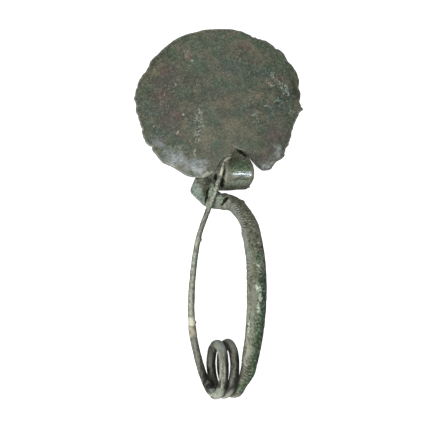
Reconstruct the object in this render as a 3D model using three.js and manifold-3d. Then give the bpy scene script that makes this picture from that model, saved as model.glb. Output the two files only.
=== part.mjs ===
// A bronze fibula brooch with a disc foot, lying with its disc face up.
// One bronze rod was wrought into nearly all of it: a long pin, a spring of two turns, a swollen arched
// bow, a band folded into the catch, and a broad thin disc. The pin has been broken and a fill joins it.
// Millimetres, +Z up. +Y runs along the brooch towards the disc, and z = 0 is the plane it lies on.
import * as THREE from "three";
import { mergeVertices } from "three/addons/utils/BufferGeometryUtils.js";
import Module from "manifold-3d";

const wasm = await Module();
wasm.setup();

const { clamp, degToRad, lerp, radToDeg, smoothstep } = THREE.MathUtils;

// ---- driving dimensions: the disc ----

const DISC_CENTRE_Y = 44;
const DISC_HALF_WIDTH = 33.3;
const DISC_HALF_HEIGHT = 29.9;
const DISC_THICKNESS = 1.15;
const DISC_RIM_THICKNESS = 0.75;
const DISC_ARCH = 2.8; // the middle of the disc stands this much above its left and right rims
const DISC_SLOPE = 0.05; // the disc climbs towards the catch by this much per millimetre
const DISC_LOW_RIM = -1.25; // height of its middle surface before arch and slope

// The rim is an ellipse, worn and bent in places. Each dent or bulge has its direction and its spread in
// degrees, and says how far it moves the rim.
const RIM_WEAR = [
  { at: 20, spread: 9, by: 1.6 },
  { at: 39, spread: 7, by: 1.3 },
  { at: 50, spread: 5, by: 0.6 },
  { at: 141, spread: 4, by: -0.5 },
  { at: 153, spread: 6, by: -1.1 },
  { at: 181, spread: 4, by: -0.5 },
  { at: 194, spread: 7, by: -1.1 },
  { at: 227, spread: 6, by: 0.9 },
  { at: 248, spread: 9, by: 1.1 },
  { at: 304, spread: 8, by: 2.1 },
  { at: 319, spread: 7, by: 2.0 },
  { at: 344, spread: 6, by: -1.3 },
  { at: 357, spread: 3, by: 0.7 },
];

// The pointed bay in the disc's lower rim, where the catch comes out: x, y.
const BAY = [
  [6.8, 26.4],
  [6.0, 23.2],
  [2.8, 22.7],
  [1.2, 21.2],
  [-1.5, 16.8],
  [-7.0, 13.8],
  [-7.0, 8.0],
  [18.4, 8.0],
  [18.4, 15.5],
  [17.2, 17.0],
  [15.3, 18.6],
  [13.0, 21.4],
  [11.0, 24.4],
];

// ---- driving dimensions: the catch ----

// Both bands of the catch are given by stations: centre x, y, z, half of the width as a vector x, y, z,
// thickness, and how square the section is (2 is an ellipse).

// From the bow's foot down into the channel, over the fold, and back underneath to the right.
const CATCH_BAND = [
  [2.7, 4.8, 11.2, 0.1, 3.05, 0, 6.0, 2],
  [0.9, 5.0, 8.3, 0.2, 3.2, 0, 3.6, 2.3],
  [-0.9, 5.8, 5.2, 0.6, 3.8, 0, 2.1, 3],
  [-2.6, 7.2, 3.6, 1.2, 4.6, -0.3, 1.4, 3.6],
  [-4.2, 8.6, 3.5, 1.8, 5.0, -0.8, 1.2, 4],
  [-5.9, 9.9, 4.7, 1.8, 4.5, -1.1, 1.15, 4],
  [-7.9, 10.6, 4.9, 1.4, 3.8, -1.2, 1.1, 4],
  [-9.5, 11.4, 3.4, 1.1, 2.8, -0.6, 1.1, 4],
  [-9.0, 12.0, 1.5, 0.9, 2.7, 0, 1.1, 4],
  [-6.0, 13.0, 0.5, 0.5, 3.7, 0, 1.1, 4],
  [-0.8, 15.2, 0.45, 0, 5.9, 0, 1.1, 4],
  [5.0, 16.8, 0.45, 0, 7.5, 0, 1.1, 4],
  [12.9, 15.2, 0.5, 0, 4.8, 0, 1.1, 4],
];

// From under the disc, up over the roll and down to the band beneath.
const CATCH_ROLL = [
  [8.2, 27.2, 2.6, 1.4, 0, 0, 0.9, 4],
  [8.4, 25.0, 3.5, 2.4, 0, 0, 1.0, 4],
  [8.7, 22.2, 6.0, 3.7, 0, 0, 1.05, 4],
  [9.0, 19.0, 8.6, 5.2, 0, 0, 1.1, 4],
  [8.75, 15.2, 9.2, 5.75, 0, 0, 1.1, 4],
  [8.2, 12.1, 7.6, 5.3, 0, 0, 1.1, 4],
  [7.1, 10.2, 4.6, 4.3, 0, 0, 1.1, 4],
  [7.7, 10.8, 1.7, 4.7, 0, 0, 1.1, 4],
  [8.3, 13.4, 0.5, 4.6, 0, 0, 1.1, 4],
];

// ---- driving dimensions: the spring ----

const SPRING_RADIUS = 9.9; // of the wire's centre line
const SPRING_OPENING = 0.1; // the second turn is this much larger
const SPRING_WIRE = 1.86; // radius of the wire
const SPRING_PITCH = 4.47;
const SPRING_DRIFT = 0.22; // each turn lies this much further towards +Y
const SPRING_LEAN = degToRad(21); // the whole spring leans towards +X
const SPRING_START = new THREE.Vector3(-2.1, -61.5, 13.7);
const SPRING_LAST_TURN = 2.08;
const SPRING_SQUEEZE = 1.1; // the first half turn is pressed this much towards the second

// ---- driving dimensions: the bow and the pin ----

// The bow's centre line from the spring to the collar: x, y, z, radius.
const BOW = [
  [9.45, -67.35, 15.8, 2.0],
  [11.7, -62.0, 19.6, 2.9],
  [13.05, -54.8, 22.7, 3.35],
  [14.35, -46.4, 25.2, 3.55],
  [15.1, -37.0, 27.0, 3.8],
  [15.2, -27.6, 27.9, 3.95],
  [14.8, -18.3, 27.2, 3.8],
  [13.5, -9.0, 25.0, 3.65],
  [12.2, -3.9, 22.7, 3.4],
  [9.65, 0.5, 18.9, 3.2],
  [6.3, 3.8, 14.3, 3.15],
  [2.7, 4.8, 11.2, 3.1],
  [1.7, 4.9, 10.2, 2.95],
];
const COLLAR_AT = new THREE.Vector3(2.7, 4.8, 11.2);
const COLLAR_RISE = 0.3; // the ridge that closes the bow
const COLLAR_WIDTH = 0.9;

// The pin's centre line from its point to the spring: x, y, z, radius.
const PIN = [
  [5.5, 22.7, 6.9, 0.3],
  [4.0, 22.0, 7.7, 0.45],
  [2.8, 20.6, 8.6, 0.55],
  [2.0, 18.0, 9.4, 0.6],
  [0.8, 13.8, 9.9, 0.7],
  [-1.6, 6.6, 9.9, 1.0],
  [-4.1, 0.6, 8.9, 1.0],
  [-7.4, -9.0, 7.2, 1.1],
  [-9.2, -19.0, 5.8, 1.2],
  [-10.3, -31.0, 4.9, 1.32],
  [-10.4, -41.0, 4.5, 1.45],
  [-9.5, -49.5, 4.4, 1.5],
  [-7.7, -57.5, 4.7, 1.55],
  [-5.5, -64.6, 6.4, 1.62],
  [-3.3, -69.2, 9.4, 1.75],
  [...springPoint(0).toArray(), SPRING_WIRE],
];
const FILL_FROM_Y = -44.7; // where the broken-off length of the pin ends
const FILL_TO_Y = -49.1;
const FILL_SWELL = 0.1; // the fill stands this much proud of the pin
const JOINT_GAP = 0.25; // left open at each face of the fill

// ---- smooth runs and closed solids ----

// Reads rows of numbers as one smooth run: run(t), with t from 0 to 1, gives the row at that share of it.
function smoothRun(rows) {
  const curves = [];
  for (let c = 0; c < rows[0].length; c += 3) {
    const points = rows.map((row) => new THREE.Vector3(row[c], row[c + 1] ?? 0, row[c + 2] ?? 0));
    curves.push(new THREE.CatmullRomCurve3(points, false, "catmullrom", 0.5));
  }
  return (t) => curves.flatMap((curve) => curve.getPoint(clamp(t, 0, 1)).toArray());
}

function solidFrom(positions, index) {
  const vertProperties = new Float32Array(positions);
  const triVerts = new Uint32Array(index);
  return new wasm.Manifold(new wasm.Mesh({ numProp: 3, vertProperties, triVerts }));
}

function solidFromGeometry(geometry) {
  geometry.deleteAttribute("normal");
  geometry.deleteAttribute("uv");
  const merged = mergeVertices(geometry, 1e-4);
  return solidFrom(merged.attributes.position.array, merged.index.array);
}

// Skins rings of points, all with the same count, and closes both ends with a fan.
function solidFromRings(rings) {
  const sides = rings[0].length;
  const positions = rings.flat().flatMap((point) => point.toArray());
  const index = [];
  for (let i = 0; i + 1 < rings.length; i++) {
    for (let j = 0; j < sides; j++) {
      const a = i * sides + j;
      const b = i * sides + ((j + 1) % sides);
      index.push(a, b, b + sides, a, b + sides, a + sides);
    }
  }
  const closeEnd = (ring, first, facesBack) => {
    const hub = positions.length / 3;
    const middle = new THREE.Vector3();
    ring.forEach((point) => middle.addScaledVector(point, 1 / sides));
    positions.push(...middle.toArray());
    for (let j = 0; j < sides; j++) {
      const a = first + j;
      const b = first + ((j + 1) % sides);
      if (facesBack) index.push(hub, b, a);
      else index.push(hub, a, b);
    }
  };
  closeEnd(rings[0], 0, true);
  closeEnd(rings.at(-1), (rings.length - 1) * sides, false);
  return solidFrom(positions, index);
}

// A round rod of changing radius along points { at, radius }.
function rod(points, sides) {
  let across = new THREE.Vector3(0, 0, 1);
  const rings = points.map(({ at, radius }, i) => {
    const before = points[Math.max(i - 1, 0)].at;
    const after = points[Math.min(i + 1, points.length - 1)].at;
    const along = after.clone().sub(before).normalize();
    across = across.clone().addScaledVector(along, -across.dot(along)).normalize();
    const up = along.clone().cross(across);
    return Array.from({ length: sides }, (_, j) => {
      const angle = (2 * Math.PI * j) / sides;
      return at
        .clone()
        .addScaledVector(across, radius * Math.cos(angle))
        .addScaledVector(up, radius * Math.sin(angle));
    });
  });
  return solidFromRings(rings);
}

// A hammered band of changing width and thickness through its stations.
function band(stations, steps, sides) {
  const run = smoothRun(stations);
  const placeAt = (t) => new THREE.Vector3(...run(t).slice(0, 3));
  const rings = [];
  for (let i = 0; i <= steps; i++) {
    const t = i / steps;
    const [, , , widthX, widthY, widthZ, thickness, squareness] = run(t);
    const along = placeAt(t + 0.5 / steps).sub(placeAt(t - 0.5 / steps));
    const half = new THREE.Vector3(widthX, widthY, widthZ);
    const face = half.clone().cross(along).normalize();
    const rounded = (value) => Math.sign(value) * Math.abs(value) ** (2 / squareness);
    const ring = [];
    for (let j = 0; j < sides; j++) {
      const angle = (-2 * Math.PI * (j + 0.5)) / sides;
      ring.push(
        placeAt(t)
          .addScaledVector(half, rounded(Math.cos(angle)))
          .addScaledVector(face, (thickness / 2) * rounded(Math.sin(angle))),
      );
    }
    rings.push(ring);
  }
  return solidFromRings(rings);
}

// ---- the disc ----

function rimRadius(angle) {
  const ellipse = 1 / Math.hypot(Math.cos(angle) / DISC_HALF_WIDTH, Math.sin(angle) / DISC_HALF_HEIGHT);
  const degrees = radToDeg(angle);
  const wear = RIM_WEAR.map(({ at, spread, by }) => by * Math.exp(-(((degrees - at) / spread) ** 2)));
  return wear.reduce((sum, value) => sum + value, ellipse);
}

// Height of the disc's middle surface.
function discHeight(x, y) {
  const share = x / DISC_HALF_WIDTH;
  const farEdge = DISC_CENTRE_Y + DISC_HALF_HEIGHT;
  return DISC_LOW_RIM + DISC_ARCH * (1 - share * share) + DISC_SLOPE * (farEdge - y);
}

// Two skins of hoops and spokes, an upper and a lower one, joined at the rim.
function discPlate() {
  const spokes = 108;
  const hoops = 5;
  const perSkin = 1 + hoops * spokes;
  const positions = [];
  for (const side of [0.5, -0.5]) {
    positions.push(0, DISC_CENTRE_Y, discHeight(0, DISC_CENTRE_Y) + side * DISC_THICKNESS);
    for (let hoop = 1; hoop <= hoops; hoop++) {
      const share = hoop / hoops;
      const thickness = lerp(DISC_THICKNESS, DISC_RIM_THICKNESS, share ** 2);
      for (let spoke = 0; spoke < spokes; spoke++) {
        const angle = (2 * Math.PI * spoke) / spokes;
        const x = rimRadius(angle) * share * Math.cos(angle);
        const y = DISC_CENTRE_Y + rimRadius(angle) * share * Math.sin(angle);
        positions.push(x, y, discHeight(x, y) + side * thickness);
      }
    }
  }
  const point = (skin, hoop, spoke) => skin * perSkin + 1 + (hoop - 1) * spokes + (spoke % spokes);
  const index = [];
  for (let spoke = 0; spoke < spokes; spoke++) {
    const next = spoke + 1;
    index.push(0, point(0, 1, spoke), point(0, 1, next));
    index.push(perSkin, point(1, 1, next), point(1, 1, spoke));
    for (let hoop = 1; hoop < hoops; hoop++) {
      const [a, b] = [point(0, hoop, spoke), point(0, hoop, next)];
      const [c, d] = [point(0, hoop + 1, spoke), point(0, hoop + 1, next)];
      index.push(a, c, d, a, d, b);
      index.push(a + perSkin, d + perSkin, c + perSkin, a + perSkin, b + perSkin, d + perSkin);
    }
    const [upper, upperNext] = [point(0, hoops, spoke), point(0, hoops, next)];
    const [lower, lowerNext] = [point(1, hoops, spoke), point(1, hoops, next)];
    index.push(upper, lower, lowerNext, upper, lowerNext, upperNext);
  }
  return solidFrom(positions, index);
}

function bay() {
  const shape = new THREE.Shape(BAY.map(([x, y]) => new THREE.Vector2(x, y)));
  const cutter = new THREE.ExtrudeGeometry(shape, { depth: 20, bevelEnabled: false });
  cutter.translate(0, 0, -5);
  return solidFromGeometry(cutter);
}

// ---- the spring, the bow and the pin ----

// A point on the spring's centre line. Turn 0 is at the brooch's -Y end, where the pin runs in.
function springPoint(turn) {
  const axis = new THREE.Vector3(Math.cos(SPRING_LEAN), 0, -Math.sin(SPRING_LEAN));
  const towardsBow = new THREE.Vector3(Math.sin(SPRING_LEAN), 0, Math.cos(SPRING_LEAN));
  const towardsEnd = new THREE.Vector3(0, -1, 0);
  const sideways = new THREE.Vector3(1, 0, 0);
  const angle = 2 * Math.PI * turn;
  const radius = SPRING_RADIUS + SPRING_OPENING * smoothstep(turn, 0.8, 1.4);
  return SPRING_START.clone()
    .addScaledVector(axis, SPRING_PITCH * turn)
    .addScaledVector(towardsEnd, radius * Math.cos(angle) - SPRING_DRIFT * turn)
    .addScaledVector(towardsBow, radius * Math.sin(angle))
    .addScaledVector(sideways, SPRING_SQUEEZE * (1 - smoothstep(turn, 0, 0.3)));
}

// Points along a run of x, y, z, radius, between two shares of it.
function pointsAlong(rows, from, to, steps) {
  const run = smoothRun(rows);
  return Array.from({ length: steps + 1 }, (_, i) => {
    const [x, y, z, radius] = run(lerp(from, to, i / steps));
    return { at: new THREE.Vector3(x, y, z), radius };
  });
}

// The share of the pin's run, from 0 to 1, at which it passes this y.
function pinShareAt(y) {
  const run = smoothRun(PIN);
  let low = 0;
  let high = 1;
  for (let i = 0; i < 30; i++) {
    const middle = (low + high) / 2;
    if (run(middle)[1] > y) low = middle;
    else high = middle;
  }
  return low;
}

function pinStump() {
  return pointsAlong(PIN, pinShareAt(FILL_TO_Y - JOINT_GAP), 1, 16);
}

function springTurns() {
  const steps = 48;
  return Array.from({ length: steps }, (_, i) => {
    const turn = (SPRING_LAST_TURN * (i + 1)) / steps;
    return { at: springPoint(turn), radius: SPRING_WIRE };
  });
}

function bowWithCollar() {
  return pointsAlong(BOW, 0, 1, 72).map(({ at, radius }) => {
    const off = at.distanceTo(COLLAR_AT) / COLLAR_WIDTH;
    return { at, radius: radius + COLLAR_RISE * Math.exp(-off * off) };
  });
}

// ---- the three pieces ----

// Takes off what reaches below z = 0, which leaves the small flats that the brooch lies on.
function onFlatRests(solid) {
  const below = new THREE.BoxGeometry(200, 300, 10).translate(0, 0, -5);
  return solid.subtract(solidFromGeometry(below));
}

function brooch() {
  const wrought = discPlate()
    .subtract(bay())
    .add(band(CATCH_ROLL, 30, 14))
    .add(band(CATCH_BAND, 46, 14))
    .add(rod([...pinStump(), ...springTurns(), ...bowWithCollar()], 14));
  return onFlatRests(wrought);
}

function pinPointLength() {
  return rod(pointsAlong(PIN, 0, pinShareAt(FILL_FROM_Y + JOINT_GAP), 34), 12);
}

function pinFill() {
  const points = pointsAlong(PIN, pinShareAt(FILL_FROM_Y), pinShareAt(FILL_TO_Y), 4);
  return rod(points.map(({ at, radius }) => ({ at, radius: radius + FILL_SWELL })), 12);
}

function namedMesh(name, solid, material) {
  const { vertProperties, triVerts } = solid.getMesh();
  const geometry = new THREE.BufferGeometry();
  geometry.setAttribute("position", new THREE.BufferAttribute(vertProperties, 3));
  geometry.setIndex(new THREE.BufferAttribute(triVerts, 1));
  geometry.computeVertexNormals();
  const mesh = new THREE.Mesh(geometry, material);
  mesh.name = name;
  return mesh;
}

const greenBronze = new THREE.MeshStandardMaterial({ color: 0x5d6155, roughness: 0.6, metalness: 0.5 });
const paleBronze = new THREE.MeshStandardMaterial({ color: 0x7c8070, roughness: 0.65, metalness: 0.4 });
const fill = new THREE.MeshStandardMaterial({ color: 0xa9a693, roughness: 0.8, metalness: 0 });

const fibula = new THREE.Group();
fibula.add(namedMesh("brooch", brooch(), greenBronze));
fibula.add(namedMesh("pin_point_length", pinPointLength(), paleBronze));
fibula.add(namedMesh("pin_fill", pinFill(), fill));

export default fibula;
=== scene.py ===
# %% [markdown]
# # An ancient bronze fibula brooch
# A fibula is the safety pin of the ancient world. This one was wrought from a single bronze rod: a long
# pin, a spring of two turns, a thick arched bow, a band folded into the catch, and a broad thin disc.
# The pin broke long ago and a fill joins it again.
#
# The solids of the three pieces are loaded first, as a fixed frame. Everything after this is made
# around them, in the same metres and at the same place.

# %% Load the frame
import math

import bmesh
import bpy
import numpy as np
from mathutils import Matrix, Vector, noise
from mathutils.geometry import delaunay_2d_cdt


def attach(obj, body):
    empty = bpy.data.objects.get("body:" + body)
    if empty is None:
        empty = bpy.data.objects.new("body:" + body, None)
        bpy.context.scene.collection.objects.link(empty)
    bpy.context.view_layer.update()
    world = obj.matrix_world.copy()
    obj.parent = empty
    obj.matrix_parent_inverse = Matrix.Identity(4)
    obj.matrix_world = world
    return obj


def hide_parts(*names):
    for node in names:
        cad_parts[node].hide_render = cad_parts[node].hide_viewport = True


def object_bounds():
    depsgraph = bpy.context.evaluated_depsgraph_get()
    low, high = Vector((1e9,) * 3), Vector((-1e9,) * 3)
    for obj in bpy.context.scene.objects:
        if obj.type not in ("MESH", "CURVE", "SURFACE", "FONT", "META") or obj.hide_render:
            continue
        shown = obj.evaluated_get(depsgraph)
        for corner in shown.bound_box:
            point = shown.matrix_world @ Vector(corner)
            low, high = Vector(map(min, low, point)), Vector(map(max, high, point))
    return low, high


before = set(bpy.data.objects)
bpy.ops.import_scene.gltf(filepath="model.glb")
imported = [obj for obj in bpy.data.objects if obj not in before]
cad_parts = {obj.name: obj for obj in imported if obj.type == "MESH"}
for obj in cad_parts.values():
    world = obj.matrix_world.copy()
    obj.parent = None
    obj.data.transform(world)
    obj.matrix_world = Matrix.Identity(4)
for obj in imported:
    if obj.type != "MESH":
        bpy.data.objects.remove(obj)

MM = 0.001
cad_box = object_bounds()
cad_low, cad_high = cad_box
print("solids:", sorted(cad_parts), "box in mm:", [round(v / MM, 2) for v in cad_high - cad_low])

# %% [markdown]
# ## Camera, light and floor
# A flat brooch is best seen from straight above, on white, through a long lens, so that the disc and
# the arched bow keep their true outlines. The light could be one lamp, but bronze needs something to
# reflect: a broad soft panel at the lower left models the bow, a narrow one overhead draws the thin
# line along the crest of the catch, and a white surround fills the rest.

# %% The camera looks straight down
CAMERA_HEIGHT = 0.96
CAMERA_LENS = 200
CAMERA_SENSOR = 36
CAMERA_SHIFT_X = -1.02 * MM
CAMERA_SHIFT_Y = -1.2 * MM


def placed(name, data):
    """A new object of some data, in the scene."""
    made = bpy.data.objects.new(name, data)
    bpy.context.scene.collection.objects.link(made)
    return made


middle = (cad_low + cad_high) / 2
camera = placed("camera", bpy.data.cameras.new("camera"))
camera.location = (middle.x + CAMERA_SHIFT_X, middle.y + CAMERA_SHIFT_Y, CAMERA_HEIGHT)
camera.data.lens = CAMERA_LENS
camera.data.sensor_width = CAMERA_SENSOR
bpy.context.scene.camera = camera
print("camera over", [round(v / MM, 2) for v in camera.location])

# %% Soft panels, a white surround and a pale floor
SURROUND_STRENGTH = 0.3
FLOOR_SIZE = 8
FLOOR_TONE = 0.35
FLOOR_GLOW = 0.95
WHITE = (1, 1, 1, 1)


def placed_shape(name, shape):
    """A new mesh object of a bmesh shape, in the scene."""
    data = bpy.data.meshes.new(name)
    shape.to_mesh(data)
    shape.free()
    return placed(name, data)


def soft_panel(name, place, width, depth, watts):
    """An area lamp at a place, aimed at the brooch."""
    lamp = bpy.data.lights.new(name, "AREA")
    lamp.shape = "RECTANGLE"
    lamp.size = width
    lamp.size_y = depth
    lamp.energy = watts
    panel = placed(name, lamp)
    panel.location = place
    panel.rotation_euler = (middle - Vector(place)).to_track_quat("-Z", "Y").to_euler()


soft_panel("panel_low_left", (-0.7, -0.62, 0.85), 0.55, 0.55, 20)
soft_panel("panel_overhead", (0, -0.02, 1.3), 0.36, 0.15, 10)

world = bpy.data.worlds.new("white_surround")
bpy.context.scene.world = world
world.use_nodes = True
surround = world.node_tree.nodes["Background"].inputs
surround["Color"].default_value = WHITE
surround["Strength"].default_value = SURROUND_STRENGTH
bpy.context.scene.view_settings.view_transform = "Standard"

floor_shape = bmesh.new()
bmesh.ops.create_grid(floor_shape, x_segments=1, y_segments=1, size=FLOOR_SIZE / 2)
floor = placed_shape("floor", floor_shape)
floor_paper = bpy.data.materials.new("floor_paper")
floor_paper.use_nodes = True
paper = floor_paper.node_tree.nodes["Principled BSDF"].inputs
paper["Base Color"].default_value = (FLOOR_TONE, FLOOR_TONE, FLOOR_TONE, 1)
paper["Roughness"].default_value = 0.9
paper["Emission Color"].default_value = WHITE
paper["Emission Strength"].default_value = FLOOR_GLOW
floor.data.materials.append(floor_paper)
floor.visible_diffuse = False
floor.visible_glossy = False
print("light:", [lamp.name for lamp in bpy.data.lights], "and", world.name)

# %% [markdown]
# ## Smooth runs
# A smith draws bronze out into one flowing form, so every limb of the brooch is given by a few stations
# and read as a smooth run between them. A Bezier curve could do it, but then its handles would have to
# be kept in step by hand. A Catmull-Rom run passes through every station and needs no handles. All
# measures are in millimetres until a mesh is made.

# %% Read a run of stations
def smooth_run(stations):
    """run(share) gives the row at that share, from 0 to 1, of a smooth run through the stations."""
    rows = np.array(stations, float)
    padded = np.vstack([2 * rows[0] - rows[1], rows, 2 * rows[-1] - rows[-2]])

    def run(share):
        place = min(max(share, 0.0), 1.0) * (len(rows) - 1)
        first = min(int(place), len(rows) - 2)
        step = place - first
        before, start, end, after = padded[first : first + 4]
        leave, arrive = (end - before) / 2, (after - start) / 2
        curve = 2 * (start - end) + leave + arrive
        bend = 3 * (end - start) - 2 * leave - arrive
        return start + step * (leave + step * (bend + step * curve))

    return run


def share_at_y(run, y):
    """The share at which a run that goes towards -Y passes y."""
    low, high = 0.0, 1.0
    for _ in range(40):
        half = (low + high) / 2
        if run(half)[1] > y:
            low = half
        else:
            high = half
    return low


def length_of(stations):
    return np.linalg.norm(np.diff(np.array(stations)[:, :3], axis=0), axis=1).sum()


def smoothstep(value, low, high):
    share = min(max((value - low) / (high - low), 0.0), 1.0)
    return share * share * (3 - 2 * share)


# %% Make a mesh object from millimetres
def mesh_object(name, points, faces):
    data = bpy.data.meshes.new(name)
    data.from_pydata((np.asarray(points, float) * MM).tolist(), [], faces)
    data.update()
    return placed(name, data)


def keep_values(made, name, values):
    """Stores a value for every point of a mesh object, by name."""
    made.data.attributes.new(name, "FLOAT", "POINT").data.foreach_set("value", values)


# %% Noise, knobs and ovals
def wavy(x, y, z, size, seed=0.0):
    """Smooth noise from -1 to 1, with waves about as long as size."""
    return noise.noise(Vector((x / size + seed, y / size - seed, z / size + 2 * seed)))


def waves(x, y, z, kinds):
    """Noises of several kinds on top of each other. Each kind: height, size, seed."""
    return sum(height * wavy(x, y, z, size, seed) for height, size, seed in kinds)


def knobs(x, y, z, size, width, seed=0.0):
    """Rounded knobs scattered about one size apart: 1 on top, falling to 0 over the width."""
    nearest = noise.voronoi(Vector((x / size + seed, y / size, z / size)))[0][0]
    return max(0.0, 1 - nearest / width)


def near(x, y, spot):
    """1 in the middle of an oval spot (x, y, half width, half height), falling to 0 outside."""
    across, along = (x - spot[0]) / spot[2], (y - spot[1]) / spot[3]
    return math.exp(-(across * across + along * along))


def near_any(x, y, spots):
    return max(near(x, y, spot) for spot in spots)


# %% [markdown]
# ## The disc
# The disc is the rod's end hammered out to a sheet about a millimetre thick, gently arched, with a rim
# that is worn, nicked and bent. A pointed bay in its lower rim lets the catch come out. It could be a
# polar grid, but that crowds points in the middle and starves the rim, where the wear is. Here the
# outline is worked out first, and a triangle net of even mesh fills it on both faces.

# %% The outline of the disc
DISC_HALF_WIDTH = 33.3
DISC_HALF_HEIGHT = 29.9
DISC_CENTRE_Y = cad_high.y / MM - DISC_HALF_HEIGHT
DISC_THICKNESS = 1.15
DISC_RIM_THICKNESS = 0.75
DISC_ARCH = 2.8
DISC_SLOPE = 0.05
DISC_LOW_RIM = -1.25
OUTLINE_STEP = 0.36
RIM_RAGGED = 0.12

# Broad wear of the rim: direction in degrees, spread in degrees, and how far it moves the rim.
RIM_WEAR = [
    (20, 9, 1.6), (39, 7, 1.3), (50, 5, 0.6), (78, 5, 0.25), (93, 5, -0.1), (107, 5, -0.25),
    (134, 7, -0.45), (141, 4, -0.5), (153, 6, -1.1), (181, 4, -0.5), (194, 7, -1.1), (227, 6, 0.9),
    (248, 9, 1.1), (308.5, 6, 2.6), (320.5, 5.5, 2.15), (338.5, 3, -0.45), (344, 6, -1.3),
    (350, 3, -0.3),
]
# Small nicks and chips in the rim, in the same terms.
RIM_NICKS = [
    (1.6, 1.8, -0.5), (7, 2, 0.45), (11.3, 1.2, -0.35), (16, 1.8, 0.25), (27, 1.8, 0.2),
    (32, 1.1, -0.15), (43.4, 1.5, -0.5), (52.5, 1.6, 0.25), (58.5, 1.1, -0.25), (62.3, 1.4, -0.6),
    (72, 2.4, 0.25), (148.7, 1.1, 0.25), (156.5, 1.6, -0.3), (160.8, 1.2, -0.35), (168, 0.9, -0.35),
    (171, 1, 0.15), (176.5, 1.4, 0.4), (182, 1.1, -0.2), (188.5, 1.6, -0.4), (198.7, 1.2, -0.5),
    (204.5, 1, 0.2), (208.5, 2.2, 0.25), (213.5, 1, -0.75), (217.5, 1.4, 0.15), (323.6, 0.7, -0.35),
    (326.4, 1.1, -0.2), (329.5, 1.1, 0.4), (334, 0.7, -0.2), (341.5, 0.8, 0.2), (353.2, 0.8, -0.3),
    (356.2, 1.5, 1.1),
]
# The bay, from its left mouth up to its point and down to its right mouth: x, y.
BAY = [
    (-7, 8), (-7, 13.4), (-1.5, 16.4), (1.2, 21), (2.8, 22.7), (6, 23.2), (6.8, 26.4), (11, 24.4),
    (13.1, 21.6), (14.4, 20.1), (15.6, 18.8), (16.8, 17.8), (18, 17.05), (19.4, 16.6), (20.4, 8),
]


def rim_radius(degrees):
    turn = math.radians(degrees)
    radius = 1 / math.hypot(math.cos(turn) / DISC_HALF_WIDTH, math.sin(turn) / DISC_HALF_HEIGHT)
    for at, spread, by in RIM_WEAR + RIM_NICKS:
        radius += by * math.exp(-(((degrees - at) / spread) ** 2))
    return radius + RIM_RAGGED * wavy(radius * math.cos(turn), radius * math.sin(turn), 0, 1.3)


def inside(polygon, points):
    """Which points are inside a polygon, by counting the edges to the right of each."""
    x, y = np.asarray(points, float).T
    odd = np.zeros(len(x), bool)
    loop = np.asarray(polygon, float)
    for (xa, ya), (xb, yb) in zip(loop, np.roll(loop, -1, axis=0)):
        if ya != yb:
            odd ^= ((ya > y) != (yb > y)) & (x < xa + (y - ya) * (xb - xa) / (yb - ya))
    return odd


def even_steps(points, step):
    """Points at even steps along a closed line."""
    loop = np.vstack([points, points[:1]])
    length = np.concatenate([[0], np.cumsum(np.hypot(*np.diff(loop, axis=0).T))])
    at = np.linspace(0, length[-1], round(length[-1] / step), endpoint=False)
    return np.column_stack([np.interp(at, length, loop[:, axis]) for axis in (0, 1)])


rim = []
for degrees in np.arange(-60, 300, 0.25):
    radius, turn = rim_radius(degrees % 360), math.radians(degrees)
    rim.append((radius * math.cos(turn), DISC_CENTRE_Y + radius * math.sin(turn)))
rim = np.array(rim)
over_bay = inside(BAY, rim)
starts = np.flatnonzero(~over_bay & np.roll(over_bay, 1))[0]
kept_rim = np.roll(rim, -starts, axis=0)[~np.roll(over_bay, -starts)]
bay_line = np.array(BAY)[inside(rim, BAY)]
outline = even_steps(np.vstack([kept_rim, bay_line]), OUTLINE_STEP)
print("outline of the disc:", len(outline), "points")

# %% The shape of its faces
DISC_WAVES = [(0.075, 5.5, 0), (0.045, 1.9, 3), (0.02, 0.8, 7)]
BACK_WAVES = [(0.075, 4.5, 0)]
# Ovals in plan: x, y, half width, half height.
PITTED = [(-7.6, 35.2, 2.6, 6), (26, 47.5, 4.2, 4.6), (16.2, 39.6, 3, 1.6), (30.2, 39.8, 1.6, 1.6)]
CRUSTED = [(26.6, 49, 2.2, 2), (20.6, 53.4, 1.2, 2), (-7, 33, 1.6, 3.4), (16.6, 39, 2.6, 0.9)]
DENTED = [(-11.7, 63, 1.8, 3.2), (31, 49.2, 1.2, 3.6), (12, 66, 3, 2)]
PIT_SIZE = 1.1
PIT_DEPTH = 0.26
CRUST_HEIGHT = 0.16
DENT_DEPTH = 0.09
# Stretches of the rim that bend down: direction in degrees, spread in degrees, how far down.
BENT_RIM = [(232, 22, 0.8), (308, 14, 0.45), (147, 22, 0.35), (10, 9, 0.35)]
BENT_WIDTH = 4.6


def disc_height(x, y):
    """Height of the disc's middle surface."""
    share = x / DISC_HALF_WIDTH
    return DISC_LOW_RIM + DISC_ARCH * (1 - share * share) + DISC_SLOPE * (cad_high.y / MM - y)


def rim_bend(x, y, from_rim):
    """How far the worn rim bends down."""
    direction = math.degrees(math.atan2(y - DISC_CENTRE_Y, x)) % 360
    bend = sum(down * math.exp(-(((direction - at) / spread) ** 2)) for at, spread, down in BENT_RIM)
    return bend * max(0.0, 1 - from_rim / BENT_WIDTH) ** 2


def disc_relief(x, y):
    """What hammer, wear and corrosion add to the upper face."""
    relief = waves(x, y, 0, DISC_WAVES)
    relief -= PIT_DEPTH * near_any(x, y, PITTED) * knobs(x, y, PIT_SIZE / 2, PIT_SIZE, 0.55)
    relief += CRUST_HEIGHT * near_any(x, y, CRUSTED) * max(0.0, wavy(x, y, 0, 0.9, 11) + 0.25)
    return relief - DENT_DEPTH * near_any(x, y, DENTED)


# %% Fill the outline and close the sheet
NET_STEP = 0.5
BACK_NET_STEP = 1.0
NET_HALF_WIDTH = 38
NET_HALF_HEIGHT = 36
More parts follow.
